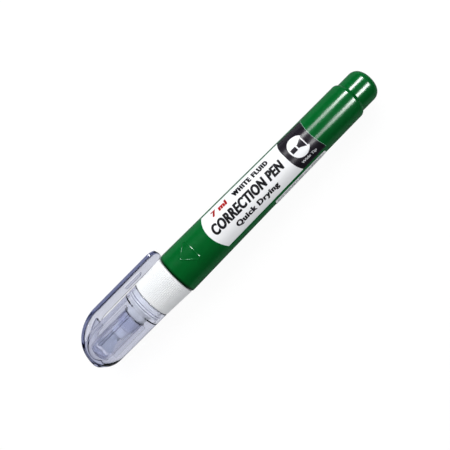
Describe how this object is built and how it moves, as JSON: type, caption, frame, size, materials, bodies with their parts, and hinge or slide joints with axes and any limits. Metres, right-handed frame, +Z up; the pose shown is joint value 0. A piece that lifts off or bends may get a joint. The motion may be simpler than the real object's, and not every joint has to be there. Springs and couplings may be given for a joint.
{
  "type": "correction pen",
  "caption": "Squeeze-barrel correction pen with a ribbed collar, a valved wide head and a clear pull-off cap with an integral clip",
  "frame": {"origin": "centre of the flat face at the tail end of the barrel, on the pen's axis", "axes": "+X along the pen's axis towards the tail, +Z up with the pen lying on a table and its front label facing up, clip towards +Y; the table is at z = -0.00777"},
  "size_m": [0.1298, 0.0195, 0.0156],
  "materials": {
    "cap_clear": "gloss",
    "sleeve_clear": "gloss",
    "tip_seal": "matte",
    "head": "satin",
    "pad": "matte",
    "nozzle": "satin",
    "seal": "matte",
    "collar": "satin",
    "valve": "satin",
    "spring": "bright",
    "barrel": "gloss",
    "ball": "polished",
    "fluid": "gloss",
    "front_label": "gloss",
    "back_label": "gloss"
  },
  "bodies": {
    "barrel": {"barrel": "barrel", "front_label": "front_label", "back_label": "back_label", "correction_fluid": "fluid", "collar": "collar", "collar_o_ring": "seal", "nozzle": "nozzle", "nozzle_o_ring": "seal", "valve_cage": "valve", "valve_spring": "spring"},
    "cap_liner": {"cap_tip_seal": "tip_seal"},
    "cap": {"cap_shell": "cap_clear", "cap_inner_sleeve": "sleeve_clear"},
    "head": {"wide_head": "head", "applicator_pad": "pad"},
    "valve": {"valve_stem": "valve", "valve_seal": "seal"},
    "agitator": {"agitator_ball": "ball"}
  },
  "joints": [
    {"name": "cap_pull", "type": "slide", "parent": "barrel", "child": "cap_liner", "axis": [-1, 0, 0], "range_m": [0, 0.033]},
    {"name": "cap_twist", "type": "hinge", "parent": "cap_liner", "child": "cap", "pos_m": [-0.1171, 0, 0], "axis": [1, 0, 0], "continuous": true},
    {"name": "head_press", "type": "slide", "parent": "barrel", "child": "head", "axis": [1, 0, 0], "range_m": [0, 0.0012], "stiffness_N_per_m": 250, "springref_m": -0.002},
    {"name": "valve_lift", "type": "slide", "parent": "barrel", "child": "valve", "axis": [1, 0, 0], "range_m": [0, 0.0012], "deforming": ["valve_spring"]},
    {"name": "ball_roll", "type": "slide", "parent": "barrel", "child": "agitator", "axis": [0.9999, 0, 0.0148], "range_m": [-0.0415, 0.0185]}
  ],
  "couplings": [
    {"joint": "valve_lift", "follows": "head_press", "ratio": 1}
  ]
}
